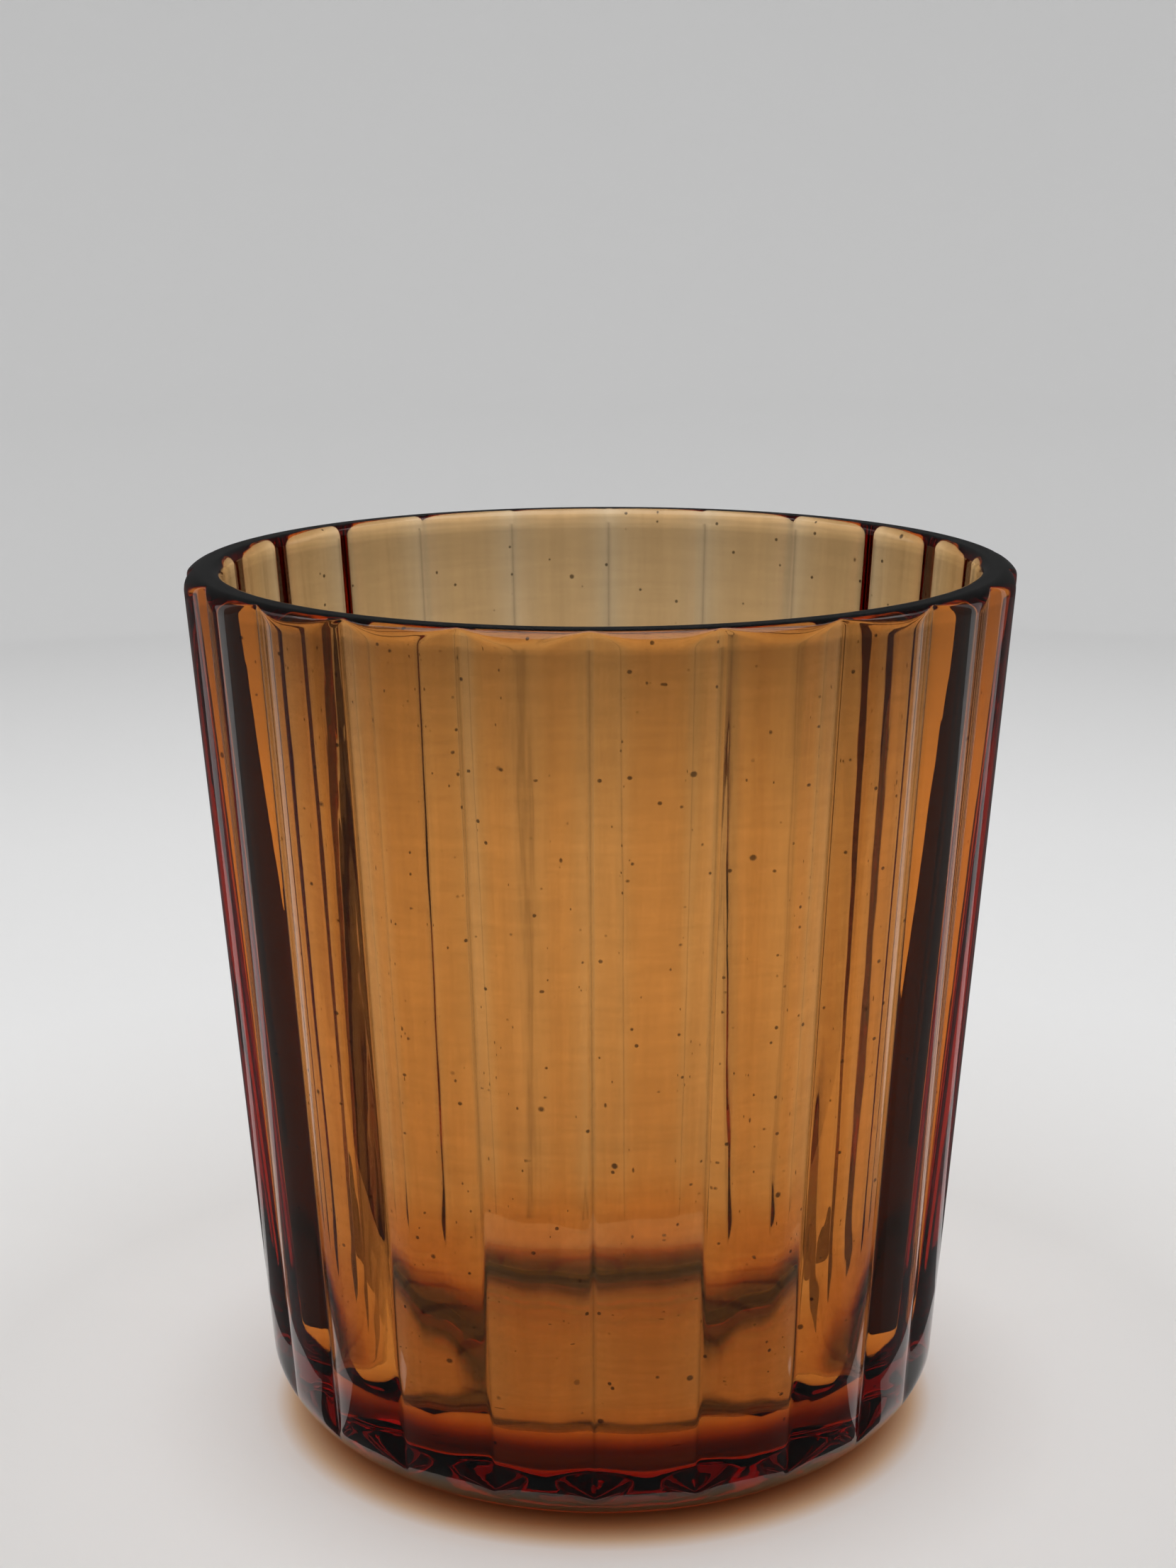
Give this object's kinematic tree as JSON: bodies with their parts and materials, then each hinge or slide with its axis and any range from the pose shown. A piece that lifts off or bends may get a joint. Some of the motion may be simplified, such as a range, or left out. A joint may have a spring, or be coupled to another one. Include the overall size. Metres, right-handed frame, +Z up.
{
  "type": "reeded glass cup",
  "caption": "Open amber pressed-glass cup with convex vertical reeds, a rounded heel and a smooth tapered inside that curves into the floor.",
  "frame": {"origin": "centre of the resting plane under the foot", "axes": "+Z up along the cup's axis, -Y towards the front"},
  "size_m": [0.0736, 0.0734, 0.0795],
  "materials": {
    "amber_glass": "polished"
  },
  "bodies": {
    "root": {"glass_cup": "amber_glass"}
  },
  "joints": []
}
